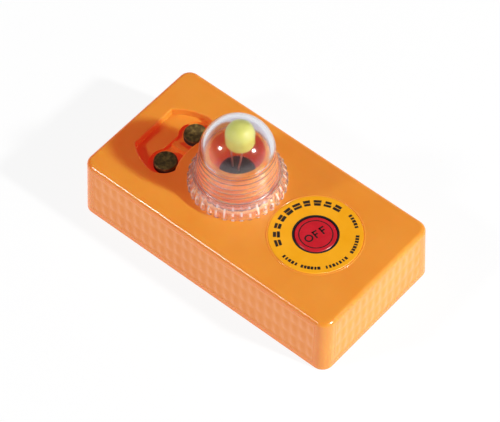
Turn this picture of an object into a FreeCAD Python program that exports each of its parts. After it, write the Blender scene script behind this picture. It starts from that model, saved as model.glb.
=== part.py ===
import FreeCAD, Part
import math
import os

V = FreeCAD.Vector
UP = V(0, 0, 1)

# Water-activated lifejacket light. Millimetres. The origin is the centre of the underside, +Z is up,
# +X runs to the button end, and the water contacts are at the -X end.

# Case
BASE_LENGTH = 84.7
BASE_WIDTH = 44.5
TOP_LENGTH = 84.0
TOP_WIDTH = 43.0
HEIGHT = 19.4
CORNER_R = 3.3
TOP_FILLET = 1.35
FOOT_FILLET = 0.5
WALL = 1.8
TOP_WALL = 1.8
COVER = 1.3
PANEL_DEPTH = 0.35
PANEL_Z = (1.9, 17.3)
PANEL_X = 38.4
PANEL_Y = 17.9
BOSS_X = 36.8
BOSS_Y = 16.9
BOSS_R = 3.3

# Base cover, gasket and screws
REGISTER_TOP = 3.0
REGISTER_GAP = 1.1
GASKET_SIZE = 1.0
SCREW_R = 1.25
SCREW_HEAD_R = 2.4
SCREW_LENGTH = 12.0

# Contact recess and contacts
CONTACT_X = -26.0
CONTACT_Y = 6.1
RECESS_LEFT = -35.6
RECESS_CORNER = 7.4
RECESS_RING_R = 17.1
RECESS_INNER_Y = 7.6
RECESS_SPLAY = (3.3, 2.35)
RECESS_SHOULDER = (2.8, 5.0)
RECESS_TURN = (2.6, 4.5)
RECESS_HALF_ROOM = 13.5
RECESS_DEPTH = 2.3
BAY_DEPTH = 3.1
BAY_LEFT = -29.5
POCKET_R = 4.7
RIB_WIDTH = 1.5
RIB_LEFT = -28.6
RIB_DROP = 1.5
RECESS_ROUND = 0.4
MOUTH_STEPS = 4
CONTACT_R = 3.2
CONTACT_DROP = 1.2
CONTACT_HEAD = 0.8
STUD_R = 1.5
STUD_END = 4.8
NUT_ACROSS = 5.5
NUT_HEIGHT = 2.0

# Lens, thread and lamp
LENS_X = -6.0
SPIGOT_R = 8.5
SPIGOT_TOP = HEIGHT + 13.5
SPIGOT_CHAMFER = 0.3
WELL_R = 7.4
WELL_FLOOR = HEIGHT + 1.9
HOLDER_R = 5.2
HOLDER_SEAT = HEIGHT + 0.4
HOLDER_TOP = HEIGHT + 4.9
HOLDER_LEDGE_R = 4.2
THREAD_START = HEIGHT + 2.9
THREAD_PITCH = 1.75
SPIGOT_TURNS = 3.9
CAP_TURNS = 3.4
THREAD_CREST = 0.35
THREAD_ROOT = 0.85
SPIGOT_THREAD_R = 9.35
CAP_BORE_R = 9.6
CAP_THREAD_R = 8.85
RIM_R = 13.4
RIM_BOTTOM = HEIGHT + 0.3
RIM_SHOULDER = HEIGHT + 2.4
RIM_TOP = HEIGHT + 5.0
RIM_TOP_R = 12.1
RIM_EDGE = 0.2
RIM_WALL = 1.0
RIM_ROOF = 0.9
RIM_TEETH = 36
GROOVE_R = 0.8
GROOVE_OUT = 0.4
SKIRT_R = 11.1
DOME_Z = HEIGHT + 13.0
DOME_R = 10.25
DOME_INNER_R = 8.85
SKIRT_TOP = DOME_Z - 2.6
SKIRT_STEP = 0.3
BORE_TOP = DOME_Z - 3.2
SEAL_R = 10.6
SEAL_SECTION = 0.8
SEAL_Z = HEIGHT + 0.9
LAMP_R = 3.95
LAMP_AT = V(LENS_X - 1.25, 2.6, HEIGHT + 12.9)
LAMP_HEIGHT = 7.7
LEG_FEET = (V(LENS_X - 1.95, 0.25, 0), V(LENS_X + 0.25, 0.15, 0))
LEG_TOPS = (V(-1.95, -1.6, 0), V(0.6, 0.5, 0))
LEAD_R = 0.26

# Board
BOARD_TOP = 8.5
BOARD_THICKNESS = 1.6
BOARD_NECK = 4.5
BOARD_HEAD = 10.0
BOARD_X = (-33.5, -19.2, 30.0)
POST_X = (4.0, 28.0)
POST_R = 1.7
POST_PILOT = 0.8

CHIP_X = -30.5
INDUCTOR_X = -21.5
INDUCTOR_R = 2.9
INDUCTOR_WAIST = 1.9
INDUCTOR_FLANGES = (0.8, 3.4, 4.2)
CAN_X = -31.3
CAN_Y = 7.4
RESISTORS = ((-14, -2.4), (-14, 2.4), (-1, 2.6), (9, -2.4), (9, 2.4), (12.5, 0))

# Button
BUTTON_X = 20.8
BUTTON_R = 5.7
BUTTON_TOP = HEIGHT + 0.2
BUTTON_THICKNESS = 2.7
BEZEL_R = 6.24
BEZEL_BORE = 5.8
LABEL_R = 12.56
LABEL_SEAT = 0.15
LABEL_TOP = HEIGHT + 0.2
SLEEVE_R = 7.4
SLEEVE_END = 14.5
RETAINER = 0.8
STEM_R = 1.6
STEM_END = 13.75
CLIP_Z = SLEEVE_END - 0.45
CLIP_DEPTH = 0.4
BUTTON_SEAL_R = 5.27
BUTTON_SEAL_SECTION = 0.5
SWITCH_HEIGHT = 3.5
SWITCH_PINS = (2.6, 3.3)
PLUNGER_R = 1.7
PLUNGER_GAP = 0.3

# Battery: two AA-size cells
CELL_R = 7.25
CELL_X = (-18.2, 32.3)
CELL_Y = 12.6
CELL_Z = 9.2
SADDLE_X = (-12, 7, 26)
TAB = 0.25


def put(name, *shapes):
    """Write one node: a single solid, or a group of separate solids."""
    shape = shapes[0] if len(shapes) == 1 else Part.makeCompound(list(shapes))
    shape.exportStep("parts/%s.step" % name)


def box(x0, x1, y0, y1, z0, z1):
    return Part.makeBox(x1 - x0, y1 - y0, z1 - z0, V(x0, y0, z0))


def rod(x, y, z0, z1, r):
    return Part.makeCylinder(r, z1 - z0, V(x, y, z0), UP)


def tube(x, y, z0, z1, r_out, r_in):
    return rod(x, y, z0, z1, r_out).cut(rod(x, y, z0, z1, r_in))


def hexagon(x, y, z0, z1, across):
    corner = across / math.sqrt(3)
    turns = [math.radians(60 * i) for i in range(7)]
    points = [V(x + corner * math.cos(a), y + corner * math.sin(a), z0) for a in turns]
    return Part.Face(Part.makePolygon(points)).extrude(V(0, 0, z1 - z0))


def lathe(x, y, profile):
    """Turn a closed (radius, height) outline about the upright line through x, y."""
    points = [V(x + r, y, z) for r, z in profile]
    face = Part.Face(Part.makePolygon(points + [points[0]]))
    return face.revolve(V(x, y, 0), UP, 360)


def rounded_rect(length, width, r, z):
    """A rectangle with round corners, as a wire at height z."""
    a, b, k = length / 2, width / 2, r * (1 - math.sqrt(0.5))
    edges = []
    for sx, sy in ((1, -1), (1, 1), (-1, 1), (-1, -1)):
        near = V(sx * a, sy * (b - r), z)
        middle = V(sx * (a - k), sy * (b - k), z)
        far = V(sx * (a - r), sy * b, z)
        start, end = (far, near) if sx * sy < 0 else (near, far)
        if edges:
            edges.append(Part.makeLine(edges[-1].Vertexes[-1].Point, start))
        edges.append(Part.Arc(start, middle, end).toShape())
    edges.append(Part.makeLine(edges[-1].Vertexes[-1].Point, edges[0].Vertexes[0].Point))
    return Part.Wire(edges)


def case_block(z0, z1, inset=0.0):
    """The case's drafted outline between two heights, moved in by inset."""
    wires = []
    for z in (z0, z1):
        t = z / HEIGHT
        length = BASE_LENGTH + (TOP_LENGTH - BASE_LENGTH) * t - 2 * inset
        width = BASE_WIDTH + (TOP_WIDTH - BASE_WIDTH) * t - 2 * inset
        wires.append(rounded_rect(length, width, max(CORNER_R - inset, 0.6), z))
    return Part.makeLoft(wires, True, True)


def edges_at(shape, z, reach=0.01):
    return [e for e in shape.Edges if e.BoundBox.ZMin > z - reach and e.BoundBox.ZMax < z + reach]


def four_corners(x, y):
    return [(sx * x, sy * y) for sx in (-1, 1) for sy in (-1, 1)]


def thread(r_root, r_crest, z0, turns, inward):
    """A helical ridge on the lens axis; r_root is on the wall it grows from."""
    sink = 0.12 if inward else -0.12
    height = THREAD_PITCH * turns
    helix = Part.makeHelix(THREAD_PITCH, height, r_root)
    foot, tip = THREAD_ROOT / 2, THREAD_CREST / 2
    outline = [V(r_root + sink, 0, -foot), V(r_crest, 0, -tip)]
    outline += [V(r_crest, 0, tip), V(r_root + sink, 0, foot)]
    profile = Part.makePolygon(outline + [outline[0]])
    ridge = Part.Wire(helix).makePipeShell([profile], True, True)
    ridge.translate(V(LENS_X, 0, z0))
    return ridge


# ---------------------------------------------------------------- case

def ring_point(r, y):
    """The point at y on the contacts' side of a circle about the lens axis."""
    return V(LENS_X - math.sqrt(r * r - y * y), y, 0)


def recess_outline():
    """Straight at the left, splayed corners, a round end at each contact, hollow round the lens."""
    edges = [Part.makeLine(V(RECESS_LEFT, RECESS_CORNER, 0), V(RECESS_LEFT, -RECESS_CORNER, 0))]
    inner = ring_point(RECESS_RING_R, RECESS_INNER_Y)
    for sign in (-1, 1):
        corner = V(RECESS_LEFT, sign * RECESS_CORNER, 0)
        splay = V(RECESS_LEFT + RECESS_SPLAY[0], sign * (RECESS_CORNER + RECESS_SPLAY[1]), 0)
        shoulder = V(CONTACT_X - RECESS_SHOULDER[0], sign * (CONTACT_Y + RECESS_SHOULDER[1]), 0)
        turn = V(CONTACT_X + RECESS_TURN[0], sign * (CONTACT_Y + RECESS_TURN[1]), 0)
        end = V(inner.x, sign * RECESS_INNER_Y, 0)
        edges.append(Part.Arc(corner, splay, shoulder).toShape())
        edges.append(Part.Arc(shoulder, turn, end).toShape())
    hollow = ring_point(RECESS_RING_R, 0)
    edges.append(Part.Arc(V(inner.x, -inner.y, 0), hollow, V(inner.x, inner.y, 0)).toShape())
    return Part.Face(Part.Wire(Part.__sortEdges__(edges)))


def recess_cut():
    """The recess: a shallow floor, deeper pockets at the contacts, and the rib between them."""
    above = HEIGHT + 1
    outline = recess_outline()
    outline.translate(V(0, 0, HEIGHT - BAY_DEPTH))
    full = outline.extrude(V(0, 0, BAY_DEPTH + 1))
    shallow = full.common(box(-60, 0, -30, 30, HEIGHT - RECESS_DEPTH, above))
    pockets = [rod(CONTACT_X, y, 0, above, POCKET_R) for y in (-CONTACT_Y, CONTACT_Y)]
    pockets.append(box(BAY_LEFT, 0, -CONTACT_Y, CONTACT_Y, 0, above))
    deep = full.common(pockets[0].multiFuse(pockets[1:]))
    rib = box(RIB_LEFT, 0, -RIB_WIDTH / 2, RIB_WIDTH / 2, 0, HEIGHT - RIB_DROP)
    return recess_mouth().multiFuse([shallow, deep]).cut(rib)


def recess_mouth():
    """What rounds over the recess's top edge: outlines that flare out along a quarter circle."""
    outline = recess_outline()
    wires = []
    for step in range(MOUTH_STEPS + 1):
        turn = math.pi / 2 * step / MOUTH_STEPS
        flare = RECESS_ROUND * (1 - math.cos(turn))
        wire = (outline.makeOffset2D(flare, 2) if step else outline).OuterWire.copy()
        wire.translate(V(0, 0, HEIGHT - RECESS_ROUND * (1 - math.sin(turn))))
        wires.append(wire)
    above = wires[-1].copy()
    above.translate(UP)
    return Part.makeLoft(wires + [above], True, True)


def side_panels():
    """The four shallow insets in the sides."""
    ring = case_block(PANEL_Z[0], PANEL_Z[1], -1).cut(case_block(PANEL_Z[0], PANEL_Z[1], PANEL_DEPTH))
    reach = BASE_LENGTH
    along = ring.common(box(-PANEL_X, PANEL_X, -reach, reach, 0, HEIGHT))
    across = ring.common(box(-reach, reach, -PANEL_Y, PANEL_Y, 0, HEIGHT))
    return along.fuse(across)


def cavity():
    """The space inside the case, with what hangs into it left standing."""
    room = case_block(COVER - 0.5, HEIGHT - TOP_WALL, WALL)
    keep = [rod(x, y, 0, HEIGHT, BOSS_R) for x, y in four_corners(BOSS_X, BOSS_Y)]
    keep += [rod(x, 0, BOARD_TOP, HEIGHT, POST_R) for x in POST_X]
    keep.append(rod(BUTTON_X, 0, SLEEVE_END, HEIGHT, SLEEVE_R))
    under = HEIGHT - BAY_DEPTH - WALL
    ends = (RECESS_LEFT - 2, CONTACT_X + POCKET_R + 1.5)
    keep.append(box(*ends, -RECESS_HALF_ROOM, RECESS_HALF_ROOM, under, HEIGHT))
    return room.cut(keep[0].multiFuse(keep[1:]))


def housing_shell():
    body = case_block(COVER, HEIGHT)
    body = body.makeFillet(TOP_FILLET, edges_at(body, HEIGHT))
    spigot = rod(LENS_X, 0, HEIGHT - TOP_WALL, SPIGOT_TOP, SPIGOT_R)
    spigot = spigot.makeChamfer(SPIGOT_CHAMFER, edges_at(spigot, SPIGOT_TOP))
    ridge = thread(SPIGOT_R, SPIGOT_THREAD_R, THREAD_START, SPIGOT_TURNS, False)
    cuts = [side_panels(), cavity(), recess_cut()]
    cuts.append(rod(LENS_X, 0, WELL_FLOOR, SPIGOT_TOP + 1, WELL_R))
    cuts.append(rod(LENS_X, 0, HOLDER_SEAT, SPIGOT_TOP, HOLDER_R))
    cuts.append(rod(LENS_X, 0, 0, SPIGOT_TOP, HOLDER_LEDGE_R))
    cuts.append(rod(BUTTON_X, 0, HEIGHT - LABEL_SEAT, HEIGHT + 1, LABEL_R + 0.04))
    cuts.append(rod(BUTTON_X, 0, 0, HEIGHT + 1, BEZEL_R))
    cuts += [rod(CONTACT_X, y, 0, HEIGHT, STUD_R + 0.05) for y in (-CONTACT_Y, CONTACT_Y)]
    cuts += [rod(x, y, 0, SCREW_LENGTH + 1, SCREW_R) for x, y in four_corners(BOSS_X, BOSS_Y)]
    cuts += [rod(x, 0, 0, BOARD_TOP + 5, POST_PILOT) for x in POST_X]
    rebate = case_block(0, COVER + GASKET_SIZE, WALL - REGISTER_GAP)
    corners = [rod(x, y, 0, HEIGHT, BOSS_R) for x, y in four_corners(BOSS_X, BOSS_Y)]
    cuts.append(rebate.cut(corners[0].multiFuse(corners[1:])))
    shell = body.fuse(spigot)
    for cut in cuts:
        shell = shell.cut(cut)
    return shell.fuse(ridge)


# ---------------------------------------------------------------- base

def screw(x, y, z, r, head_r, head, length):
    """A countersunk screw driven upwards from z, with a cross slot."""
    body = lathe(x, y, [(0, z), (head_r, z), (head_r, z + 0.2), (r, z + head), (r, z + length - 1),
                        (0.2, z + length), (0, z + length)])
    slots = [box(x - 1.2, x + 1.2, y - 0.25, y + 0.25, z - 1, z + 0.7),
             box(x - 0.25, x + 0.25, y - 1.2, y + 1.2, z - 1, z + 0.7)]
    return body.cut(slots[0].fuse(slots[1]))


def base_cover():
    plate = case_block(0, COVER)
    plate = plate.makeFillet(FOOT_FILLET, edges_at(plate, 0))
    register = case_block(COVER - 0.2, REGISTER_TOP, WALL + 0.1)
    register = register.cut(case_block(0, REGISTER_TOP + 1, WALL + 1.4))
    corners = [rod(x, y, COVER, HEIGHT, BOSS_R + 0.2) for x, y in four_corners(BOSS_X, BOSS_Y)]
    register = register.cut(corners[0].multiFuse(corners[1:]))
    cover = plate.fuse(register)
    for x in SADDLE_X:
        saddle = box(x - 1, x + 1, -18.5, 18.5, COVER - 0.2, 4.6)
        for y in (-CELL_Y, CELL_Y):
            cell = Part.makeCylinder(CELL_R + 0.02, 10, V(x - 5, y, CELL_Z), V(1, 0, 0))
            saddle = saddle.cut(cell)
        cover = cover.fuse(saddle)
    for x, y in four_corners(BOSS_X, BOSS_Y):
        cover = cover.cut(lathe(x, y, [(0, -1), (SCREW_HEAD_R, -1), (SCREW_HEAD_R, 0.3),
                                       (SCREW_R + 0.1, COVER), (SCREW_R + 0.1, 5), (0, 5)]))
    return cover


def base_gasket():
    ring = case_block(COVER, COVER + GASKET_SIZE, WALL - REGISTER_GAP)
    ring = ring.cut(case_block(0, HEIGHT, WALL + 0.1))
    corners = [rod(x, y, 0, HEIGHT, BOSS_R) for x, y in four_corners(BOSS_X, BOSS_Y)]
    return ring.cut(corners[0].multiFuse(corners[1:]))


def base_screws():
    return [screw(x, y, 0.1, SCREW_R, SCREW_HEAD_R - 0.1, 1.1, SCREW_LENGTH)
            for x, y in four_corners(BOSS_X, BOSS_Y)]


# ---------------------------------------------------------------- water contacts

def electrode(y):
    top = HEIGHT - CONTACT_DROP
    head = rod(CONTACT_X, y, top - CONTACT_HEAD, top, CONTACT_R)
    head = head.makeFillet(0.25, edges_at(head, top))
    return head.fuse(rod(CONTACT_X, y, STUD_END, top - CONTACT_HEAD, STUD_R))


def electrode_seals():
    z = HEIGHT - BAY_DEPTH
    top = HEIGHT - CONTACT_DROP - CONTACT_HEAD
    return [tube(CONTACT_X, y, z, top, CONTACT_R + 0.1, STUD_R) for y in (-CONTACT_Y, CONTACT_Y)]


def electrode_nuts():
    """Two nuts under the recess floor and two under the board."""
    under_floor = HEIGHT - BAY_DEPTH - WALL
    under_board = BOARD_TOP - BOARD_THICKNESS
    nuts = []
    for y in (-CONTACT_Y, CONTACT_Y):
        for top in (under_floor, under_board):
            nut = hexagon(CONTACT_X, y, top - NUT_HEIGHT, top, NUT_ACROSS)
            nuts.append(nut.cut(rod(CONTACT_X, y, 0, HEIGHT, STUD_R)))
    return nuts


# ---------------------------------------------------------------- lens and lamp

def rim_groove():
    """One knurl groove: upright on the rim, then leaning in along its sloped shoulder."""
    at = RIM_R + GROOVE_OUT
    knee = V(at, 0, RIM_SHOULDER)
    lean = V(RIM_TOP_R - RIM_R, 0, RIM_TOP - RIM_SHOULDER)
    low = Part.makeCylinder(GROOVE_R, RIM_SHOULDER - HEIGHT + 1, V(at, 0, HEIGHT - 1), UP)
    high = Part.makeCylinder(GROOVE_R, lean.Length + 1, knee, lean)
    return low.multiFuse([high, Part.makeSphere(GROOVE_R, knee)])


def cap_outside():
    """The cap without its hollow: a knurled rim, a tapered skirt and a dome."""
    rim = [(0, RIM_TOP), (RIM_TOP_R, RIM_TOP), (RIM_R, RIM_SHOULDER), (RIM_R, RIM_BOTTOM + RIM_EDGE),
           (RIM_R - RIM_EDGE, RIM_BOTTOM), (0, RIM_BOTTOM)]
    outside = lathe(0, 0, rim)
    for i in range(RIM_TEETH):
        groove = rim_groove()
        groove.rotate(V(0, 0, 0), UP, 360.0 * i / RIM_TEETH)
        outside = outside.cut(groove)
    shoulder_r = math.sqrt(DOME_R ** 2 - (DOME_Z - SKIRT_TOP) ** 2) + SKIRT_STEP
    skirt = lathe(0, 0, [(0, RIM_TOP - 1), (SKIRT_R, RIM_TOP - 1), (SKIRT_R, RIM_TOP + 0.5),
                         (shoulder_r, SKIRT_TOP), (0, SKIRT_TOP)])
    dome = Part.makeSphere(DOME_R, V(0, 0, DOME_Z)).common(box(-20, 20, -20, 20, SKIRT_TOP - 1, 90))
    return outside.multiFuse([skirt, dome])


def cap_inside():
    """The cap's hollow: the bore, the dome's inside, the seal's seat and the space under the rim."""
    bore = lathe(0, 0, [(0, RIM_BOTTOM - 1), (CAP_BORE_R, RIM_BOTTOM - 1), (CAP_BORE_R, BORE_TOP),
                        (DOME_INNER_R, DOME_Z), (0, DOME_Z)])
    dome = Part.makeSphere(DOME_INNER_R, V(0, 0, DOME_Z))
    seat = rod(0, 0, RIM_BOTTOM - 1, SEAL_Z + SEAL_SECTION + 0.1, SEAL_R + SEAL_SECTION + 0.2)
    near = SKIRT_R + 0.1
    far = RIM_R - RIM_WALL
    roof = RIM_TOP - RIM_ROOF
    under = lathe(0, 0, [(near, RIM_BOTTOM - 1), (far, RIM_BOTTOM - 1), (far, RIM_SHOULDER - 0.3),
                         (RIM_TOP_R - RIM_WALL + 0.2, roof), (near, roof)])
    return bore.fuse(dome), seat, under


def lens_cap():
    cap = cap_outside()
    for hollow in cap_inside():
        cap = cap.cut(hollow)
    cap.translate(V(LENS_X, 0, 0))
    start = THREAD_START + THREAD_PITCH / 2
    return cap.fuse(thread(CAP_BORE_R, CAP_THREAD_R, start, CAP_TURNS, True))


def lens_seal():
    return Part.makeTorus(SEAL_R, SEAL_SECTION, V(LENS_X, 0, SEAL_Z))


def led_lamp():
    body = rod(LAMP_AT.x, LAMP_AT.y, LAMP_AT.z, LAMP_AT.z + LAMP_HEIGHT - LAMP_R, LAMP_R)
    body = body.makeFillet(1.2, edges_at(body, LAMP_AT.z))
    body = body.fuse(Part.makeSphere(LAMP_R, LAMP_AT + V(0, 0, LAMP_HEIGHT - LAMP_R)))
    for lead in led_leads():
        body = body.cut(lead)
    return body


def lead_route(side):
    """Points of one lamp leg, from under the board to inside the lamp; side is 0 or 1."""
    foot = LEG_FEET[side]
    knee = foot + V(0, 0, HOLDER_TOP + 0.8)
    under = LAMP_AT + LEG_TOPS[side] - V(0, 0, 1.2)
    route = [foot + V(0, 0, BOARD_TOP - BOARD_THICKNESS - 1), knee]
    if side == 1:
        route.append(knee + (under - knee) * 0.45 + V(0.35, -0.25, 0))
    return route + [under, under + V(0, 0, 1.8)]


def bent_wire(route, r):
    """Straight round wires joined by balls at the bends."""
    wire = None
    for a, b in zip(route, route[1:]):
        run = Part.makeCylinder(r, (b - a).Length, a, b - a)
        wire = run if wire is None else wire.fuse(run).fuse(Part.makeSphere(r, a))
    return wire


def led_leads():
    return [bent_wire(lead_route(side), LEAD_R) for side in (0, 1)]


def led_holder():
    body = rod(LENS_X, 0, HOLDER_SEAT, HOLDER_TOP, HOLDER_R - 0.02)
    body = body.makeChamfer(0.3, edges_at(body, HOLDER_TOP))
    for foot in LEG_FEET:
        body = body.cut(rod(foot.x, foot.y, 0, HEIGHT + 20, LEAD_R))
    return body


# ---------------------------------------------------------------- board

def main_board():
    low, high = BOARD_TOP - BOARD_THICKNESS, BOARD_TOP
    head = box(BOARD_X[0], BOARD_X[1], -BOARD_HEAD, BOARD_HEAD, low, high)
    board = head.fuse(box(BOARD_X[1] - 1, BOARD_X[2], -BOARD_NECK, BOARD_NECK, low, high))
    holes = [rod(CONTACT_X, y, 0, HEIGHT, STUD_R + 0.1) for y in (-CONTACT_Y, CONTACT_Y)]
    holes += [rod(x, 0, 0, HEIGHT, 1.1) for x in POST_X]
    holes += [rod(foot.x, foot.y, 0, HEIGHT, LEAD_R) for foot in LEG_FEET]
    holes += [box(x - 0.3, x + 0.3, y - 0.3, y + 0.3, 0, HEIGHT) for x, y in switch_corners()]
    return board.cut(holes[0].multiFuse(holes[1:])).removeSplitter()


def board_screws():
    z = BOARD_TOP - BOARD_THICKNESS
    screws = []
    for x in POST_X:
        head = rod(x, 0, z - 1.3, z, 1.9).cut(box(x - 2, x + 2, -0.25, 0.25, z - 2, z - 0.8))
        screws.append(head.fuse(rod(x, 0, z, z + 6, 0.8)))
    return screws


def controller_chip():
    half, face = 2.5, BOARD_TOP + 1.6
    body = box(CHIP_X - half, CHIP_X + half, -2.1, 2.1, BOARD_TOP + 0.15, face)
    return body.cut(rod(CHIP_X - 1.7, 1.4, face - 0.2, face + 1, 0.4))


def chip_pins():
    """Eight gull-wing pins, four on each long side."""
    pitch, half = 1.27, 0.2
    pins = []
    for i in range(4):
        x = CHIP_X + pitch * (i - 1.5)
        for side in (-1, 1):
            y0, y1 = sorted((side * 2.1, side * 3.1))
            foot0, foot1 = sorted((side * 2.7, side * 3.1))
            shelf = box(x - half, x + half, y0, y1, BOARD_TOP + 0.5, BOARD_TOP + 0.7)
            pins.append(shelf.fuse(box(x - half, x + half, foot0, foot1, BOARD_TOP, BOARD_TOP + 0.6)))
    return pins


def boost_inductor():
    low, high, top = [BOARD_TOP + z for z in INDUCTOR_FLANGES]
    return lathe(INDUCTOR_X, 0, [(0, BOARD_TOP), (INDUCTOR_R, BOARD_TOP), (INDUCTOR_R, low),
                                 (INDUCTOR_WAIST, low), (INDUCTOR_WAIST, high), (INDUCTOR_R, high),
                                 (INDUCTOR_R, top), (0, top)])


def inductor_winding():
    low, high, _ = INDUCTOR_FLANGES
    return tube(INDUCTOR_X, 0, BOARD_TOP + low, BOARD_TOP + high, INDUCTOR_R - 0.2, INDUCTOR_WAIST)


def storage_capacitors():
    """Two upright cans, each with a rolled bead near its foot."""
    r, neck, z = 1.9, 1.75, BOARD_TOP
    outline = [(0, z), (r, z), (r, z + 0.9), (neck, z + 1.1), (r, z + 1.3), (r, z + 4.8),
               (r - 0.2, z + 5.0), (0, z + 5.0)]
    return [lathe(CAN_X, y, outline) for y in (-CAN_Y, CAN_Y)]


def resistors():
    return [box(x - 1, x + 1, y - 0.6, y + 0.6, BOARD_TOP, BOARD_TOP + 0.55) for x, y in RESISTORS]


# ---------------------------------------------------------------- switch and button

def switch_corners():
    return [(BUTTON_X + x, y) for x, y in four_corners(*SWITCH_PINS)]


def tact_switch():
    top = BOARD_TOP + SWITCH_HEIGHT
    body = box(BUTTON_X - 3, BUTTON_X + 3, -3, 3, BOARD_TOP, top)
    body = body.makeChamfer(0.3, edges_at(body, top))
    return body.cut(rod(BUTTON_X, 0, top - 1.4, top + 1, PLUNGER_R + 0.06))


def switch_pins():
    pins = []
    for x, y in switch_corners():
        y0, y1 = sorted((math.copysign(3.0, y), math.copysign(3.55, y)))
        pins.append(box(x - 0.25, x + 0.25, y - 0.25, y + 0.25, BOARD_TOP - 2.4, BOARD_TOP + 0.5).fuse(
            box(x - 0.25, x + 0.25, y0, y1, BOARD_TOP + 0.1, BOARD_TOP + 0.5)))
    return pins


def switch_plunger():
    top = STEM_END - PLUNGER_GAP
    body = rod(BUTTON_X, 0, BOARD_TOP + SWITCH_HEIGHT - 0.9, top, PLUNGER_R)
    return body.makeFillet(0.3, edges_at(body, top))


def off_button():
    """The button: a disc with a seal groove, and a stem with a clip groove."""
    under = BUTTON_TOP - BUTTON_THICKNESS
    groove = under + 0.8
    neck = BUTTON_SEAL_R - BUTTON_SEAL_SECTION
    edge = 0.25
    waist = STEM_R - CLIP_DEPTH
    stem = [(0, STEM_END), (STEM_R - 0.2, STEM_END), (STEM_R, STEM_END + 0.1), (STEM_R, CLIP_Z),
            (waist, CLIP_Z), (waist, CLIP_Z + CLIP_DEPTH), (STEM_R, CLIP_Z + CLIP_DEPTH), (STEM_R, under)]
    disc = [(BUTTON_R, under), (BUTTON_R, groove), (neck, groove), (neck, groove + 1.1),
            (BUTTON_R, groove + 1.1), (BUTTON_R, BUTTON_TOP - edge), (BUTTON_R - edge, BUTTON_TOP),
            (0, BUTTON_TOP)]
    return lathe(BUTTON_X, 0, stem + disc)


def button_seal():
    middle = BUTTON_TOP - BUTTON_THICKNESS + 1.35
    return Part.makeTorus(BUTTON_SEAL_R, BUTTON_SEAL_SECTION, V(BUTTON_X, 0, middle))


def button_clip():
    ring = tube(BUTTON_X, 0, CLIP_Z, CLIP_Z + CLIP_DEPTH, 2.9, STEM_R - CLIP_DEPTH)
    return ring.cut(box(BUTTON_X - 5, BUTTON_X, -0.7, 0.7, 0, HEIGHT))


def button_bezel():
    return tube(BUTTON_X, 0, SLEEVE_END + RETAINER, LABEL_TOP + 0.05, BEZEL_R, BEZEL_BORE)


def button_retainer():
    return tube(BUTTON_X, 0, SLEEVE_END, SLEEVE_END + RETAINER, BEZEL_R, STEM_R + 0.08)


def button_spring():
    """A short coil between the retainer and the button."""
    wire, coil = 0.16, 3.2
    low = SLEEVE_END + RETAINER + wire + 0.02
    high = BUTTON_TOP - BUTTON_THICKNESS - wire - 0.02
    turns = 2.5
    helix = Part.makeHelix((high - low) / turns, high - low, coil)
    section = Part.Wire(Part.makeCircle(wire, V(coil, 0, 0), V(0, 1, 0)))
    spring = Part.Wire(helix).makePipeShell([section], True, True)
    spring.translate(V(BUTTON_X, 0, low))
    return spring


def switch_label():
    disc = rod(BUTTON_X, 0, HEIGHT - LABEL_SEAT, LABEL_TOP, LABEL_R)
    disc = disc.makeFillet(0.15, edges_at(disc, LABEL_TOP))
    return disc.cut(rod(BUTTON_X, 0, 0, HEIGHT + 1, BEZEL_R))


# ---------------------------------------------------------------- battery

def battery_cell(y, flip):
    """An AA-size cell: can, crimped shoulder and button terminal."""
    x0, x1 = CELL_X
    can = [(0, 0), (CELL_R - 0.3, 0), (CELL_R, 0.3), (CELL_R, 48.6), (CELL_R - 0.8, 49.4),
           (3.0, 49.4), (2.75, 49.5), (2.75, x1 - x0), (0, x1 - x0)]
    cell = lathe(0, 0, can)
    cell.rotate(V(0, 0, 0), V(0, 1, 0), -90 if flip else 90)
    cell.translate(V(x1 if flip else x0, y, CELL_Z))
    return cell


def cell_link():
    x = CELL_X[1]
    strip = box(x, x + TAB, -CELL_Y - 3, CELL_Y + 3, CELL_Z - 2.5, CELL_Z + 2.5)
    return strip.cut(box(x - 1, x + 1, -0.25, 0.25, CELL_Z - 1.5, CELL_Z + 1.5))


def cell_tabs():
    """Nickel tabs from the cells' near ends to the board's head."""
    tabs = []
    x = CELL_X[0]
    inner = BOARD_NECK + 1
    for side in (-1, 1):
        y0, y1 = sorted((side * inner, side * (CELL_Y + 2.5)))
        upright = box(x - TAB, x, y0, y1, BOARD_TOP, CELL_Z + 2.5)
        f0, f1 = sorted((side * inner, side * (inner + 4)))
        tabs.append(upright.fuse(box(BOARD_X[1] - 1.5, x, f0, f1, BOARD_TOP, BOARD_TOP + TAB)))
    return tabs


def foam_pads():
    top = HEIGHT - TOP_WALL
    pads = []
    for side in (-1, 1):
        y0, y1 = sorted((side * (CELL_Y - 2.5), side * (CELL_Y + 2.5)))
        pad = box(-14, 28, y0, y1, CELL_Z + 5, top)
        cell = Part.makeCylinder(CELL_R, 60, V(-20, side * CELL_Y, CELL_Z), V(1, 0, 0))
        pads.append(pad.cut(cell))
    return pads


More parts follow.
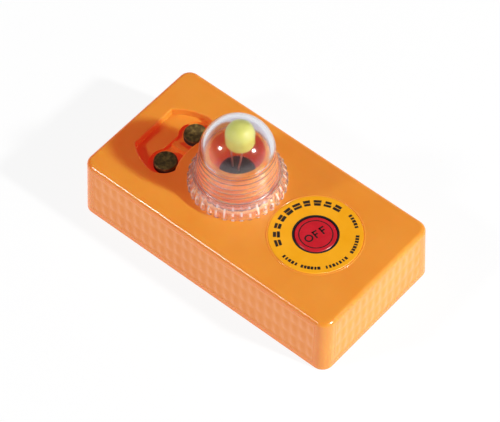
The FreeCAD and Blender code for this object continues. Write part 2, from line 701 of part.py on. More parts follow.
def build():
    os.makedirs("parts", exist_ok=True)
    put("housing_shell", housing_shell())
    put("base_cover", base_cover())
    put("base_gasket", base_gasket())
    put("base_screws", *base_screws())
    put("electrode_front", electrode(-CONTACT_Y))
    put("electrode_rear", electrode(CONTACT_Y))
    put("electrode_seals", *electrode_seals())
    put("electrode_nuts", *electrode_nuts())
    put("lens_cap", lens_cap())
    put("lens_seal", lens_seal())
    put("led_lamp", led_lamp())
    put("led_leads", *led_leads())
    put("led_holder", led_holder())
    put("main_board", main_board())
    put("board_screws", *board_screws())
    put("controller_chip", controller_chip())
    put("chip_pins", *chip_pins())
    put("boost_inductor", boost_inductor())
    put("inductor_winding", inductor_winding())
    put("storage_capacitors", *storage_capacitors())
    put("resistors", *resistors())
    put("tact_switch", tact_switch())
    put("switch_pins", *switch_pins())
    put("switch_plunger", switch_plunger())
    put("off_button", off_button())
    put("button_seal", button_seal())
    put("button_clip", button_clip())
    put("button_bezel", button_bezel())
    put("button_retainer", button_retainer())
    put("button_spring", button_spring())
    put("switch_label", switch_label())
    put("battery_cell_front", battery_cell(-CELL_Y, False))
    put("battery_cell_rear", battery_cell(CELL_Y, True))
    put("cell_link", cell_link())
    put("cell_tabs", *cell_tabs())
    put("foam_pads", *foam_pads())


build()
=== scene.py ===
import math
import random

import bpy
from mathutils import Matrix, Vector, noise


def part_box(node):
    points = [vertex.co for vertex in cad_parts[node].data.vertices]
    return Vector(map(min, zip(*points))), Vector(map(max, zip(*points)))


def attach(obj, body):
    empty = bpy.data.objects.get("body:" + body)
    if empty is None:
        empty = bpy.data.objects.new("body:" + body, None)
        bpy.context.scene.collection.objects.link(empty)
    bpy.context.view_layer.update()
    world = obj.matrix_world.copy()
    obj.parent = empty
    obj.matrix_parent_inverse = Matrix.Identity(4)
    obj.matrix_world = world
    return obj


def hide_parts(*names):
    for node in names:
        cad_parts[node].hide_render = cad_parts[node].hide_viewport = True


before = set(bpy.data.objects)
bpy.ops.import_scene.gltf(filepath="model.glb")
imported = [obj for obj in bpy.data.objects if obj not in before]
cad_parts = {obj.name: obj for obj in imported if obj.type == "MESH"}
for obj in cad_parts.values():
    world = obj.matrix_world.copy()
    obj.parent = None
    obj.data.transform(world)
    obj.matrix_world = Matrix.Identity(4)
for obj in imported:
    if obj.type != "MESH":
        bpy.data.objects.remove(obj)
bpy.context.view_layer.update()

MM = 0.001
TURN = 2 * math.pi

# The camera: where it stands about the case, and the point of the floor that it looks at
CAMERA_AZIMUTH = 40.45
CAMERA_ELEVATION = 53.05
CAMERA_ROLL = -0.16
CAMERA_DISTANCE = 0.7961
CAMERA_TARGET = (-0.00678, 0.00593, 0)
CAMERA_LENS = 211.9
SENSOR_WIDTH = 36

# The two studio lamps: direction from the object, power and width
KEY = {"direction": (0.801, 0.191, 0.567), "watts": 31, "width": 0.11}
FILL = {"direction": (-0.422, -0.693, 0.583), "watts": 9, "width": 0.16}
LAMP_DISTANCE = 1.5
# The white sweep round the object: how high a direction points, and how bright it is there
SWEEP = ((0.0, 0.76), (0.12, 0.42), (0.3, 0.08), (1.0, 0.03))
SWEEP_BLUE = 1.04
FLOOR_SIZE = 4
FLOOR_DROP = 0.00002
FLOOR_GLOW = 0.9
FLOOR_ALBEDO = 0.09

# The inset panels in the four sides, and the pillows moulded in them
DRAFT_X = 0.35 * MM
DRAFT_Y = 0.75 * MM
HEIGHT = 19.4 * MM
PANEL_DEPTH = 0.35 * MM
PANEL_FOOT = 1.9 * MM
PANEL_HEAD = 17.3 * MM
PANEL_X = 38.4 * MM
PANEL_Y = 17.9 * MM
GROOVE_DEPTH = 0.24 * MM
PANEL_BORDER = 0.9 * MM
SKIN = 0.02 * MM
PILLOW_PITCH = 2.84 * MM
PILLOW_ROWS = 3
STEPS_ALONG = 8
STEPS_UP = 14

# The clear lens, in millimetres: radii about its axis, and heights above the case's top
DOME_R = 10.25
DOME_BORE = 8.85
DOME_CENTRE = 13.0
SKIRT_R = 11.1
SKIRT_FOOT = 5.5
LEDGE = 5.0
LEDGE_R = 12.1
RIM_R = 13.4
RIM_KNEE = 2.4
RIM_FOOT = 0.3
RIM_WALL = 1.0
RIM_ROOF = 0.9
RIM_TEETH = 36
TOOTH_GROOVE = 0.8
TOOTH_SINK = 0.4
BORE_R = 9.6
BORE_FOOT = 1.8
BORE_TOP = 9.8
THREAD_R = 8.85
THREAD_PITCH = 1.75
THREAD_START = 2.9 + THREAD_PITCH / 2
THREAD_TURNS = 3.4
THREAD_ROOT = 0.62
THREAD_CREST = 0.02
THREAD_FADE = 0.08
RINGS_TOP = 13.8
RING_DEPTH = 0.3
HAZE_TOP = 13.0
# Faces round the lens to each tooth, and to each land between two grooves; the lands get frosted white stripes, a
# painted highlight that breaks up by noise
TOOTH_FACES = 8
LAND_FACES = 2
LAND_CHANGE = (1.73, 0.37)
LAND_LEVEL = -0.12
COLUMNS = RIM_TEETH * TOOTH_FACES
SHARP = math.radians(55)

# Printing on the label and the button
INK = 0.03 * MM
RING_R = 4.45 * MM
RING_LINE = 0.26 * MM
WORD_HEIGHT = 2.35 * MM
WORD_PITCH = 2.24 * MM
WORD_STROKE = 0.42 * MM
WORD_TILT = -14
F_PLACES = (-0.26, 0.74)
F_BARS = (0.6, 0.5)
BOLD_BLOCKS = 10
BOLD_ARC = (236, 96)
BOLD_R = 10.3 * MM
BOLD_SIZE = (2.3 * MM, 2.0 * MM)
BOLD_WIDTHS = (0.7, 1)
BOLD_HEIGHTS = (0.36, 0.46)
FINE_ARCS = ((258, 284), (288, 316), (322, 358), (366, 399), (410, 436))
FINE_R = 10.9 * MM
FINE_PITCH = 0.95 * MM
FINE_SIZE = (0.8 * MM, 0.95 * MM)
FINE_WIDTHS = (0.5, 1)

# The rim round the label
LABEL_R = 12.56 * MM
LABEL_RIM = 0.5 * MM
LABEL_RIM_RISE = 0.16 * MM
RIM_GAP = 0.02 * MM
RIM_STEPS = 10


# Materials: where most of a noise texture's values lie, how much the plastics glow as painted light (a red glow
# that keeps the case's shadows red, a yellow-green one that evens out the lamp body's shading), and how much of
# each colour the lens lets past to what it shades
NOISE_RANGE = (0.3, 0.7)
CASE_PAINTED_GLOW = ((1.0, 0.02, 0.01), 0.37)
LAMP_BODY_PAINTED_GLOW = ((0.8, 0.9, 0.16), 0.22)
LENS_SHADE = (0.42, 0.37, 0.37)


def centre(node):
    """The middle of a node's box."""
    low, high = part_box(node)
    return (low + high) / 2


# Materials


class Look:
    """A procedural material: a Principled shader and the nodes that feed it."""

    def __init__(self, name, **uniform):
        self.material = bpy.data.materials.new(name)
        self.material.use_nodes = True
        self.nodes = self.material.node_tree.nodes
        self.links = self.material.node_tree.links
        self.shader = self.nodes["Principled BSDF"]
        self.output = self.nodes["Material Output"]
        self.place = self.nodes.new("ShaderNodeTexCoord").outputs["Object"]
        self.normal = None
        for socket, value in uniform.items():
            self.shader.inputs[socket.replace("_", " ")].default_value = value

    def join(self, source, target):
        self.links.new(source, target)
        return source

    def noise(self, per_mm, detail=3):
        """Noise with so many cells to a millimetre."""
        node = self.nodes.new("ShaderNodeTexNoise")
        node.inputs["Scale"].default_value = per_mm / MM
        node.inputs["Detail"].default_value = detail
        self.join(self.place, node.inputs["Vector"])
        return node.outputs["Fac"]

    def spots(self, per_mm):
        """Distance to the nearest of scattered points."""
        node = self.nodes.new("ShaderNodeTexVoronoi")
        node.inputs["Scale"].default_value = per_mm / MM
        self.join(self.place, node.inputs["Vector"])
        return node.outputs["Distance"]

    def ramp(self, source, *stops):
        """A colour ramp; each stop is a place and a colour."""
        node = self.nodes.new("ShaderNodeValToRGB")
        marks = node.color_ramp.elements
        while len(marks) < len(stops):
            marks.new(0.5)
        for mark, (place, colour) in zip(marks, stops):
            mark.position = place
            mark.color = (*colour, 1)
        self.join(source, node.inputs["Fac"])
        return node.outputs["Color"]

    def fade(self, source, dark, light):
        """A ramp between two colours over noise's usual range."""
        return self.ramp(source, (NOISE_RANGE[0], dark), (NOISE_RANGE[1], light))

    def between(self, source, low, high):
        """Turns noise into a number between low and high."""
        node = self.nodes.new("ShaderNodeMapRange")
        node.inputs["From Min"].default_value = NOISE_RANGE[0]
        node.inputs["From Max"].default_value = NOISE_RANGE[1]
        node.inputs["To Min"].default_value = low
        node.inputs["To Max"].default_value = high
        self.join(source, node.inputs["Value"])
        return node.outputs["Result"]

    def glow(self, colour, strength):
        self.shader.inputs["Emission Color"].default_value = (*colour, 1)
        self.shader.inputs["Emission Strength"].default_value = strength

    def colour(self, source):
        self.join(source, self.shader.inputs["Base Color"])

    def roughness(self, source):
        self.join(source, self.shader.inputs["Roughness"])

    def bump(self, source, depth_mm):
        """Bumps on top of any that the look already has."""
        node = self.nodes.new("ShaderNodeBump")
        node.inputs["Distance"].default_value = depth_mm * MM
        self.join(source, node.inputs["Height"])
        if self.normal:
            self.join(self.normal, node.inputs["Normal"])
        self.normal = self.join(node.outputs["Normal"], self.shader.inputs["Normal"])

    def lets_lamps_through(self, tint):
        """Lamps shine through with this tint, where glass alone would leave a black shadow."""
        clear = self.nodes.new("ShaderNodeBsdfTransparent")
        clear.inputs["Color"].default_value = (*tint, 1)
        mix = self.nodes.new("ShaderNodeMixShader")
        path = self.nodes.new("ShaderNodeLightPath")
        self.join(path.outputs["Is Shadow Ray"], mix.inputs["Fac"])
        self.join(self.shader.outputs["BSDF"], mix.inputs[1])
        self.join(clear.outputs["BSDF"], mix.inputs[2])
        self.join(mix.outputs["Shader"], self.output.inputs["Surface"])


def mottled(name, dark, light, rough, per_mm=0.6, depth=0.01, metal=0.0, grain=4.0):
    """A surface whose colour and gloss vary a little, with a fine grain."""
    look = Look(name, Metallic=metal)
    cloud = look.noise(per_mm, 4)
    look.colour(look.fade(cloud, dark, light))
    look.roughness(look.between(look.noise(per_mm * 3), *rough))
    look.bump(look.noise(grain, 2), depth)
    return look


def case_plastic(name="case_orange", depth=0.5):
    """Glossy bright orange with a faint constant red glow, painted light that keeps its shadows red. depth is how
    much light goes in.
    """
    look = Look(name, Subsurface_Weight=depth, Subsurface_Scale=2.5 * MM, IOR=1.5)
    look.shader.inputs["Subsurface Radius"].default_value = (1.0, 0.16, 0.05)
    # painted light: a constant red glow, lit or not, that keeps the shadows red
    look.glow(*CASE_PAINTED_GLOW)
    look.colour(look.fade(look.noise(0.05), (0.42, 0.252, 0.026), (0.46, 0.287, 0.036)))
    look.roughness(look.between(look.noise(0.4, 4), 0.17, 0.25))
    look.bump(look.noise(0.25, 2), 0.012)
    look.bump(look.noise(5.0, 2), 0.0012)
    return look


def clear_plastic(name="lens_clear", haze=0.01, tint=(0.8, 0.81, 0.87), rough=(0.08, 0.11)):
    """Clear moulding: haze is how much light its skin scatters."""
    look = Look(name, Transmission_Weight=1 - haze, IOR=1.49)
    pale = tuple(min(1.0, level * 1.04) for level in tint)
    look.colour(look.fade(look.noise(0.1), tint, pale))
    look.roughness(look.between(look.noise(0.5), *rough))
    look.bump(look.noise(0.35, 2), 0.01)
    look.lets_lamps_through(LENS_SHADE)
    return look


def lamp_resin():
    """The lamp's yellow-green resin, scattering light below its skin, with a faint constant glow of painted light
    that evens out its shading.
    """
    look = Look("lamp_body", Subsurface_Weight=0.7, Subsurface_Scale=1.5 * MM, IOR=1.5, Specular_IOR_Level=1.0)
    look.shader.inputs["Subsurface Radius"].default_value = (1.0, 1.0, 0.4)
    # painted light: a constant yellow-green glow that flattens the body's shading
    look.glow(*LAMP_BODY_PAINTED_GLOW)
    look.colour(look.fade(look.noise(0.3), (0.6, 0.62, 0.14), (0.7, 0.7, 0.19)))
    look.roughness(look.between(look.noise(0.8), 0.17, 0.2))
    look.bump(look.noise(3.0, 2), 0.001)
    return look


def patinated_brass():
    """Brass under a dark brown patina, pitted and worn through in patches."""
    look = Look("contact_brass", Metallic=0.35)
    dark, middle, worn = (0.055, 0.033, 0.01), (0.125, 0.08, 0.022), (0.31, 0.21, 0.06)
    look.colour(look.ramp(look.noise(0.9, 5), (0.3, dark), (0.5, middle), (0.72, worn)))
    look.roughness(look.between(look.noise(2.0), 0.45, 0.75))
    look.bump(look.spots(2.4), 0.06)
    look.bump(look.noise(4.0, 4), 0.05)
    return look


def printed_amber():
    look = Look("label_amber", IOR=1.5)
    look.colour(look.fade(look.noise(0.2, 4), (0.80, 0.33, 0.005), (0.84, 0.37, 0.012)))
    look.roughness(look.between(look.noise(0.7), 0.3, 0.4))
    look.bump(look.noise(3.0, 3), 0.002)
    return look


SPECIAL_LOOKS = {
    "case_orange": case_plastic,
    "lens_clear": clear_plastic,
    "lamp_body": lamp_resin,
    "contact_brass": patinated_brass,
    "label_amber": printed_amber,
}
# Dark and light colour, roughness, then cells to a millimetre, grain depth and metal where they are not the usual
PLAIN_LOOKS = {
    "tinned_wire": ((0.62, 0.44, 0.3), (0.8, 0.62, 0.45), (0.25, 0.4), 2, 0.006, 0.7),
    "black_insert": ((0.008, 0.008, 0.01), (0.02, 0.02, 0.023), (0.3, 0.45)),
    "black_rubber": ((0.01, 0.01, 0.01), (0.022, 0.021, 0.02), (0.6, 0.8)),
    "seal_rubber": ((0.75, 0.3, 0.08), (0.82, 0.38, 0.12), (0.35, 0.5)),
    "button_red": ((0.48, 0.01, 0.018), (0.54, 0.015, 0.027), (0.28, 0.38), 0.3, 0.004),
    "steel": ((0.5, 0.5, 0.52), (0.66, 0.66, 0.68), (0.2, 0.35), 1.5, 0.006, 1.0),
    "board_green": ((0.02, 0.16, 0.05), (0.035, 0.22, 0.075), (0.3, 0.4), 0.8, 0.02),
    "component_black": ((0.02, 0.02, 0.022), (0.04, 0.04, 0.043), (0.5, 0.65)),
    "ferrite": ((0.06, 0.06, 0.065), (0.11, 0.11, 0.12), (0.55, 0.75), 1.5, 0.03),
    "copper_wire": ((0.6, 0.2, 0.07), (0.75, 0.3, 0.12), (0.25, 0.35), 2, 0.01, 1.0),
    "capacitor_can": ((0.6, 0.61, 0.63), (0.76, 0.77, 0.79), (0.2, 0.3), 1, 0.01, 1.0),
    "cell_can": ((0.45, 0.46, 0.48), (0.62, 0.63, 0.65), (0.25, 0.4), 0.5, 0.01, 1.0),
    "nickel": ((0.58, 0.55, 0.5), (0.72, 0.69, 0.63), (0.2, 0.3), 1, 0.01, 1.0),
    "foam": ((0.1, 0.1, 0.11), (0.2, 0.2, 0.21), (0.85, 0.95), 2.5, 0.15, 0.0, 2.5),
    "natural_plastic": ((0.72, 0.7, 0.62), (0.84, 0.82, 0.74), (0.35, 0.5)),
}


def all_looks():
    """Every slot's material by its name."""
    looks = {name: make().material for name, make in SPECIAL_LOOKS.items()}
    looks.update({name: mottled(name, *look).material for name, look in PLAIN_LOOKS.items()})
    return looks


def dress_nodes(materials):
    """Gives every CAD node the material of its slot."""
    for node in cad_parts.values():
        for held in node.material_slots:
            held.material = materials[held.material.name]


# Meshes


def mesh_piece(name, points, faces, material, slot, body, smooth=True):
    """A new piece from its points and faces, riding on a body."""
    mesh = bpy.data.meshes.new(name)
    mesh.from_pydata([tuple(p) for p in points], [], faces)
    mesh.validate()
    mesh.update()
    piece = bpy.data.objects.new(name, mesh)
    bpy.context.collection.objects.link(piece)
    mesh.materials.append(material)
    for face in mesh.polygons:
        face.use_smooth = smooth
    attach(piece, body)
    return piece


def grid_faces(columns, rows, first=0):
    """Quads over a grid of points stored column by column."""
    faces = []
    for i in range(columns - 1):
        for j in range(rows - 1):
            a = first + i * rows + j
            faces.append((a, a + rows, a + rows + 1, a + 1))
    return faces


def pillow(u, v):
    """The height of one pillow over its cell, from 0 at its edge to 1; u and v run from -1 to 1."""
    return (0.5 + 0.5 * math.cos(math.pi * u)) * (0.5 + 0.5 * math.cos(math.pi * v)) ** 0.6


def smooth_step(x):
    """Rises smoothly from 0 to 1 as x does."""
    x = min(1.0, max(0.0, x))
    return x * x * (3 - 2 * x)


def panel_sheet(length, place):
    """A closed slab for one panel: pillows on its outside and flat on its back. place(s, z, out) gives a point from
    the distance along the side, the height and the distance out from the panel's floor."""
    columns = round(2 * length / PILLOW_PITCH)
    across = columns * STEPS_ALONG + 1
    up = PILLOW_ROWS * STEPS_UP + 1
    points = []
    for layer in (1, 0):
        for i in range(across):
            for j in range(up):
                s = -length + 2 * length * i / (across - 1)
                z = PANEL_FOOT + (PANEL_HEAD - PANEL_FOOT) * j / (up - 1)
                u = 2 * ((i / STEPS_ALONG) % 1) - 1
                v = 2 * ((j / STEPS_UP) % 1) - 1
                inside = smooth_step(min(length - abs(s), z - PANEL_FOOT, PANEL_HEAD - z) / PANEL_BORDER)
                out = PANEL_DEPTH + SKIN - GROOVE_DEPTH * (1 - pillow(u, v)) * inside
                points.append(place(s, z, out if layer else 0))
    faces = grid_faces(across, up)
    back = len(points) // 2
    faces += [tuple(reversed([p + back for p in face])) for face in faces]
    rim = [i * up for i in range(across)]
    rim += [(across - 1) * up + j for j in range(1, up)]
    rim += [i * up + up - 1 for i in range(across - 2, -1, -1)]
    rim += [j for j in range(up - 2, 0, -1)]
    for a, b in zip(rim, rim[1:] + rim[:1]):
        faces.append((b, a, a + back, b + back))
    return points, faces


def side_pillows(material):
    """The rows of pillows moulded in the four inset panels."""
    low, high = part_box("base_cover")
    half_x = high.x
    half_y = high.y

    def lean(z, draft):
        return draft * z / HEIGHT + PANEL_DEPTH

    sides = {
        "front": (PANEL_X, lambda s, z, out: (s, -half_y + lean(z, DRAFT_Y) - out, z)),
        "rear": (PANEL_X, lambda s, z, out: (-s, half_y - lean(z, DRAFT_Y) + out, z)),
        "right": (PANEL_Y, lambda s, z, out: (half_x - lean(z, DRAFT_X) + out, s, z)),
        "left": (PANEL_Y, lambda s, z, out: (-half_x + lean(z, DRAFT_X) - out, -s, z)),
    }
    for name, (length, place) in sides.items():
        points, faces = panel_sheet(length, place)
        mesh_piece(f"pillows_{name}", points, faces, material, "case_orange", "case")


def run(start, end, steps, kind=""):
    """Points along a straight stretch of the lens's section, without its first."""
    (r0, z0), (r1, z1) = start, end
    return [(r0 + (r1 - r0) * i / steps, z0 + (z1 - z0) * i / steps, kind) for i in range(1, steps + 1)]


def dome_arc(radius, steps):
    """Points of a dome's section from its equator up to just short of its pole."""
    turns = [math.pi / 2 * i / steps for i in range(steps)]
    return [(radius * math.cos(turn), DOME_CENTRE + radius * math.sin(turn), "") for turn in turns]


def lens_section():
    """The lens's section from the outer pole, down the outside, and up the inside to the inner pole. Each point has
    a radius, a height and what is cut or raised there; small offsets of a few tenths round the corners."""
    inner_rim = RIM_R - RIM_WALL
    section = dome_arc(DOME_R, 40)[::-1]
    section += run((DOME_R, DOME_CENTRE), (SKIRT_R - 0.03, SKIRT_FOOT), 10)
    section += [(SKIRT_R + 0.03, LEDGE + 0.3, ""), (SKIRT_R + 0.2, LEDGE + 0.1, "")]
    section += [(SKIRT_R + 0.45, LEDGE, ""), (LEDGE_R - 0.35, LEDGE, "")]
    section += [(LEDGE_R - 0.12, LEDGE - 0.08, ""), (LEDGE_R + 0.05, LEDGE - 0.3, "tooth")]
    section += run((LEDGE_R + 0.05, LEDGE - 0.3), (RIM_R - 0.12, RIM_KNEE + 0.3), 7, "tooth")
    section += [(RIM_R - 0.02, RIM_KNEE, "tooth")]
    section += run((RIM_R, RIM_KNEE - 0.3), (RIM_R, RIM_FOOT + 0.25), 4, "tooth")
    section += [(RIM_R - 0.1, RIM_FOOT + 0.05, "tooth"), (RIM_R - 0.25, RIM_FOOT, "tooth")]
    section += [(inner_rim + 0.1, RIM_FOOT, ""), (inner_rim, RIM_FOOT + 0.1, "")]
    section += run((inner_rim, RIM_FOOT + 0.1), (inner_rim, RIM_KNEE - 0.3), 3)
    section += run((inner_rim, RIM_KNEE - 0.3), (SKIRT_R + 0.25, LEDGE - RIM_ROOF), 4)
    section += [(SKIRT_R + 0.12, LEDGE - RIM_ROOF, ""), (SKIRT_R, LEDGE - RIM_ROOF - 0.15, "")]
    section += run((SKIRT_R, LEDGE - RIM_ROOF - 0.15), (SKIRT_R, BORE_FOOT + 0.1), 4)
    section += [(SKIRT_R - 0.1, BORE_FOOT, ""), (BORE_R + 0.1, BORE_FOOT, ""), (BORE_R, BORE_FOOT + 0.1, "")]
    section += run((BORE_R, BORE_FOOT + 0.1), (BORE_R, BORE_TOP), 64, "thread")
    section += run((BORE_R, BORE_TOP), (DOME_BORE, RINGS_TOP), 36, "rings")
    section += dome_arc(DOME_BORE, 36)[2:]
    return section


def tooth_depth(turn):
    """How deep a round knurl groove is at an angle about the axis."""
    pitch = TURN / RIM_TEETH
    away = ((turn / pitch + 0.5) % 1 - 0.5) * pitch * RIM_R
    return math.sqrt(max(0.0, TOOTH_GROOVE ** 2 - away ** 2)) - TOOTH_SINK


def thread_rise(turn, height):
    """How far the internal thread stands in from the bore at an angle and a height."""
    share = turn / TURN
    wound = round((height - THREAD_START) / THREAD_PITCH - share)
    along = wound + share
    away = abs(height - THREAD_START - along * THREAD_PITCH)
    ridge = (THREAD_ROOT - away) / (THREAD_ROOT - THREAD_CREST)
    ends = min(along, THREAD_TURNS - along) / THREAD_FADE
    return (BORE_R - THREAD_R) * smooth_step(ridge) * smooth_step(ends)


def stands_in(kind, turn, height):
    """How far the lens's skin stands in from its section at an angle and a height."""
    if kind == "tooth":
        return max(0.0, tooth_depth(turn))
    if kind == "thread":
        return thread_rise(turn, height)
    if kind == "rings":
        return RING_DEPTH * (0.5 - 0.5 * math.cos(TURN * (height - BORE_TOP) / THREAD_PITCH))
    return 0.0


def on_painted_highlight_land(kind, row, column):
    """Whether a face is on one of the lands between the knurl's grooves that get a frosted white stripe, a painted
    highlight.
    """
    tooth, step = divmod(column, TOOTH_FACES)
    if kind != "tooth" or abs(step + 0.5 - TOOTH_FACES / 2) >= LAND_FACES / 2:
        return False
    return noise.noise(Vector((LAND_CHANGE[0] * tooth, LAND_CHANGE[1] * row, 0))) > LAND_LEVEL


def clear_lens(dome, skirt, land):
    """The dome, its threaded skirt and its knurled rim, as one moulding; each argument is a material."""
    axis = centre("lens_cap")
    section = lens_section()
    points = []
    for radius, height, kind in section:
        for column in range(COLUMNS):
            turn = TURN * column / COLUMNS
            r = (radius - stands_in(kind, turn, height)) * MM
            points.append((axis.x + r * math.cos(turn), axis.y + r * math.sin(turn), HEIGHT + height * MM))
    faces = []
    for row in range(len(section) - 1):
        for column in range(COLUMNS):
            a = row * COLUMNS + column
            b = row * COLUMNS + (column + 1) % COLUMNS
            faces.append((a, a + COLUMNS, b + COLUMNS, b))
    last = (len(section) - 1) * COLUMNS
    outer_pole = len(points)
    points.append((axis.x, axis.y, HEIGHT + (DOME_CENTRE + DOME_R) * MM))
    points.append((axis.x, axis.y, HEIGHT + (DOME_CENTRE + DOME_BORE) * MM))
    for column in range(COLUMNS):
        following = (column + 1) % COLUMNS
        faces.append((outer_pole, column, following))
        faces.append((outer_pole + 1, last + following, last + column))
    piece = mesh_piece("clear_lens", points, faces, dome, "lens_clear", "lens")
    piece.data.materials.append(skirt)
    piece.data.materials.append(land)
    for face in piece.data.polygons:
        row, column = divmod(face.index, COLUMNS)
        if row < len(section) and on_painted_highlight_land(section[row][2], row, column):
            face.material_index = 2
        elif face.center.z < HEIGHT + HAZE_TOP * MM:
            face.material_index = 1
    piece.data.set_sharp_from_angle(angle=SHARP)
    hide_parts("lens_cap")


def prism(outline, low, high):
    """A flat closed solid from an outline that runs anticlockwise."""
    count = len(outline)
    points = [(x, y, low) for x, y in outline] + [(x, y, high) for x, y in outline]
    faces = [tuple(reversed(range(count))), tuple(range(count, 2 * count))]
    for i in range(count):
        j = (i + 1) % count
        faces.append((i, j, j + count, i + count))
    return points, faces


def turned_ring(middle, section, steps):
    """A closed ring about an upright line: its section is a loop of radii and heights that runs anticlockwise."""
    points = []
    for radius, z in section:
        for i in range(steps):
            turn = TURN * i / steps
            points.append((middle[0] + radius * math.cos(turn), middle[1] + radius * math.sin(turn), z))
    faces = []
    for band in range(len(section)):
        here = band * steps
        there = (band + 1) % len(section) * steps
        for i in range(steps):
            j = (i + 1) % steps
            faces.append((here + i, here + j, there + j, there + i))
    return points, faces


def annulus(middle, inner, outer, low, high, steps=96):
    """A flat ring as a closed solid."""
    return turned_ring(middle, ((inner, low), (outer, low), (outer, high), (inner, high)), steps)


def joined(solids):
    """Several solids as one list of points and faces."""
    points = []
    faces = []
    for some_points, some_faces in solids:
        first = len(points)
        points += some_points
        faces += [tuple(first + i for i in face) for face in some_faces]
    return points, faces


def stroke(start, end, width, frame_at, low, high):
    """A straight bar of ink between two points of a small page; frame_at puts the page's points in plan."""
    (x0, y0), (x1, y1) = start, end
    length = math.hypot(x1 - x0, y1 - y0)
    nx = -(y1 - y0) / length * width / 2
    ny = (x1 - x0) / length * width / 2
    corners = [(x0 - nx, y0 - ny), (x1 - nx, y1 - ny), (x1 + nx, y1 + ny), (x0 + nx, y0 + ny)]
    return prism([frame_at(*corner) for corner in corners], low, high)


def word_frame(node):
    """A page on top of a node: it reads from the +X end, and is turned a little."""
    middle = centre(node)
    tilt = math.radians(WORD_TILT)

    def on_page(x, y):
        across = x * math.cos(tilt) - y * math.sin(tilt)
        upward = x * math.sin(tilt) + y * math.cos(tilt)
        return middle.x - upward, middle.y + across

    return on_page


def button_print(ink):
    """The ring and the word on the button."""
    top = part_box("off_button")[1].z
    middle = centre("off_button")
    on_page = word_frame("off_button")
    low = top - INK
    high = top + INK
    solids = [annulus(middle, RING_R - RING_LINE / 2, RING_R + RING_LINE / 2, low, high)]
    half = WORD_HEIGHT / 2
    bar = half - WORD_STROKE / 2
    solids.append(annulus(on_page(-WORD_PITCH, 0), half - WORD_STROKE, half, low, high, 40))
    for place in F_PLACES:
        start = place * WORD_PITCH
        stem = start + WORD_STROKE / 2
        lines = [((stem, -half), (stem, half))]
        lines += [((start, y), (start + F_BARS[i] * WORD_HEIGHT, y)) for i, y in enumerate((bar, 0))]
        solids += [stroke(*line, WORD_STROKE, on_page, low, high) for line in lines]
    mesh_piece("button_print", *joined(solids), ink, "black_insert", "button", smooth=False)


def print_block(angle, radius, size, middle, low, high):
    """A plain block of ink that stands in for a character of the label's print."""
    wide, tall = size

    def on_page(x, y):
        turn = angle - x / radius
        return middle.x + (radius + y) * math.cos(turn), middle.y + (radius + y) * math.sin(turn)

    return stroke((-wide / 2, 0), (wide / 2, 0), tall, on_page, low, high)


def label_print(ink):
    """Plain blocks round the label: bold ones over one side, and lines of fine ones over the other."""
    chance = random.Random(7)
    foot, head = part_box("switch_label")
    place = ((foot + head) / 2, head.z - INK, head.z + INK)
    solids = []
    for i in range(BOLD_BLOCKS):
        angle = math.radians(BOLD_ARC[0] + (BOLD_ARC[1] - BOLD_ARC[0]) * i / (BOLD_BLOCKS - 1))
        for side in (-0.5, 0.5):
            wide = BOLD_SIZE[0] * chance.uniform(*BOLD_WIDTHS)
            tall = BOLD_SIZE[1] * chance.uniform(*BOLD_HEIGHTS)
            solids.append(print_block(angle, BOLD_R + side * BOLD_SIZE[1] / 2, (wide, tall), *place))
    for start, end in FINE_ARCS:
        blocks = round(math.radians(end - start) * FINE_R / FINE_PITCH)
        for i in range(blocks):
            angle = math.radians(start + (end - start) * (i + 0.5) / blocks)
            wide = FINE_SIZE[0] * chance.uniform(*FINE_WIDTHS)
            solids.append(print_block(angle, FINE_R, (wide, FINE_SIZE[1]), *place))
    mesh_piece("label_print", *joined(solids), ink, "black_insert", "case", smooth=False)


def label_rim(material):
    """The low rounded rim that the case has round the label."""
    low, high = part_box("switch_label")
    foot = HEIGHT - 2 * INK
    arch = []
    for i in range(RIM_STEPS + 1):
        turn = math.pi * i / RIM_STEPS
        out = LABEL_RIM * (0.55 - 0.5 * math.cos(turn))
        arch.append((LABEL_R + out, HEIGHT + LABEL_RIM_RISE * math.sin(turn)))
    section = [(LABEL_R + RIM_GAP, foot)] + arch + [(arch[-1][0], foot)]
    points, faces = turned_ring((low + high) / 2, section[::-1], 144)
    mesh_piece("label_rim", points, faces, material, "case_orange", "case")


# Studio


def place_camera():
    """The camera, turned about its own axis by a small roll."""
    azimuth = math.radians(CAMERA_AZIMUTH)
    elevation = math.radians(CAMERA_ELEVATION)
    roll = math.radians(CAMERA_ROLL)
    back = Vector((
        math.sin(azimuth) * math.cos(elevation),
        -math.cos(azimuth) * math.cos(elevation),
        math.sin(elevation),
    ))
    right = Vector((math.cos(azimuth), math.sin(azimuth), 0))
    up = back.cross(right)
    across = math.cos(roll) * right + math.sin(roll) * up
    upright = back.cross(across)
    data = bpy.data.cameras.new("camera")
    data.lens = CAMERA_LENS
    data.sensor_width = SENSOR_WIDTH
    camera = bpy.data.objects.new("camera", data)
    turn = Matrix((across, upright, back)).transposed().to_4x4()
    camera.matrix_world = Matrix.Translation(Vector(CAMERA_TARGET) + back * CAMERA_DISTANCE) @ turn
    bpy.context.collection.objects.link(camera)
    bpy.context.scene.camera = camera


def place_lamp(name, direction, watts, width):
    """A round area lamp that faces the object."""
    data = bpy.data.lights.new(name, "AREA")
    data.shape = "DISK"
    data.size = width
    data.energy = watts
    lamp = bpy.data.objects.new(name, data)
    away = Vector(direction).normalized()
    lamp.location = away * LAMP_DISTANCE
    lamp.rotation_euler = away.to_track_quat("Z", "Y").to_euler()
    bpy.context.collection.objects.link(lamp)


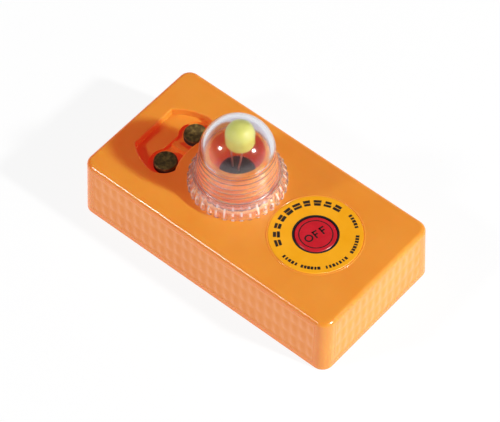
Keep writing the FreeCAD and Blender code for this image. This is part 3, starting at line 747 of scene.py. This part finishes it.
def light_surroundings():
    """Ambient light that is bright along the horizon and dark overhead."""
    world = bpy.data.worlds.new("studio")
    world.use_nodes = True
    nodes = world.node_tree.nodes
    links = world.node_tree.links
    direction = nodes.new("ShaderNodeTexCoord").outputs["Generated"]
    height = nodes.new("ShaderNodeSeparateXYZ")
    sweep = nodes.new("ShaderNodeValToRGB")
    marks = sweep.color_ramp.elements
    while len(marks) < len(SWEEP):
        marks.new(0.5)
    for mark, (place, level) in zip(marks, SWEEP):
        mark.position = place
        mark.color = (level, level, level * SWEEP_BLUE, 1)
    links.new(direction, height.inputs["Vector"])
    links.new(height.outputs["Z"], sweep.inputs["Fac"])
    links.new(sweep.outputs["Color"], nodes["Background"].inputs["Color"])
    bpy.context.scene.world = world


def lay_floor():
    """A white floor that glows, so shadows on it stay faint."""
    half = FLOOR_SIZE / 2
    corners = [(x, y, -FLOOR_DROP) for x, y in ((-half, -half), (half, -half), (half, half), (-half, half))]
    mesh = bpy.data.meshes.new("floor")
    mesh.from_pydata(corners, [], [(0, 1, 2, 3)])
    floor = bpy.data.objects.new("floor", mesh)
    bpy.context.collection.objects.link(floor)
    look = Look("floor", Roughness=0.9, Specular_IOR_Level=0)
    look.glow((1, 1, 1), FLOOR_GLOW)
    albedo = (FLOOR_ALBEDO,) * 3
    look.colour(look.fade(look.noise(0.01), albedo, albedo))
    mesh.materials.append(look.material)


bpy.context.scene.view_settings.view_transform = "Standard"
place_camera()
place_lamp("key_lamp", **KEY)
place_lamp("fill_lamp", **FILL)
light_surroundings()
lay_floor()
materials = all_looks()
dress_nodes(materials)
side_pillows(case_plastic("pillow_orange", 0).material)
skirt_clear = clear_plastic("lens_skirt", 0.05, (0.94, 0.93, 0.93), (0.1, 0.16)).material
# frosted near-white stripes on the rim's lands: a painted highlight
highlight_land_clear = clear_plastic("lens_painted_highlight_land", 0.42, (0.97, 0.94, 0.94), (0.1, 0.2)).material
clear_lens(materials["lens_clear"], skirt_clear, highlight_land_clear)
printing_ink = mottled("printing_ink", (0.012, 0.008, 0.008), (0.02, 0.014, 0.014), (0.35, 0.5)).material
button_print(printing_ink)
label_print(printing_ink)
label_rim(case_plastic("rim_orange", 0).material)
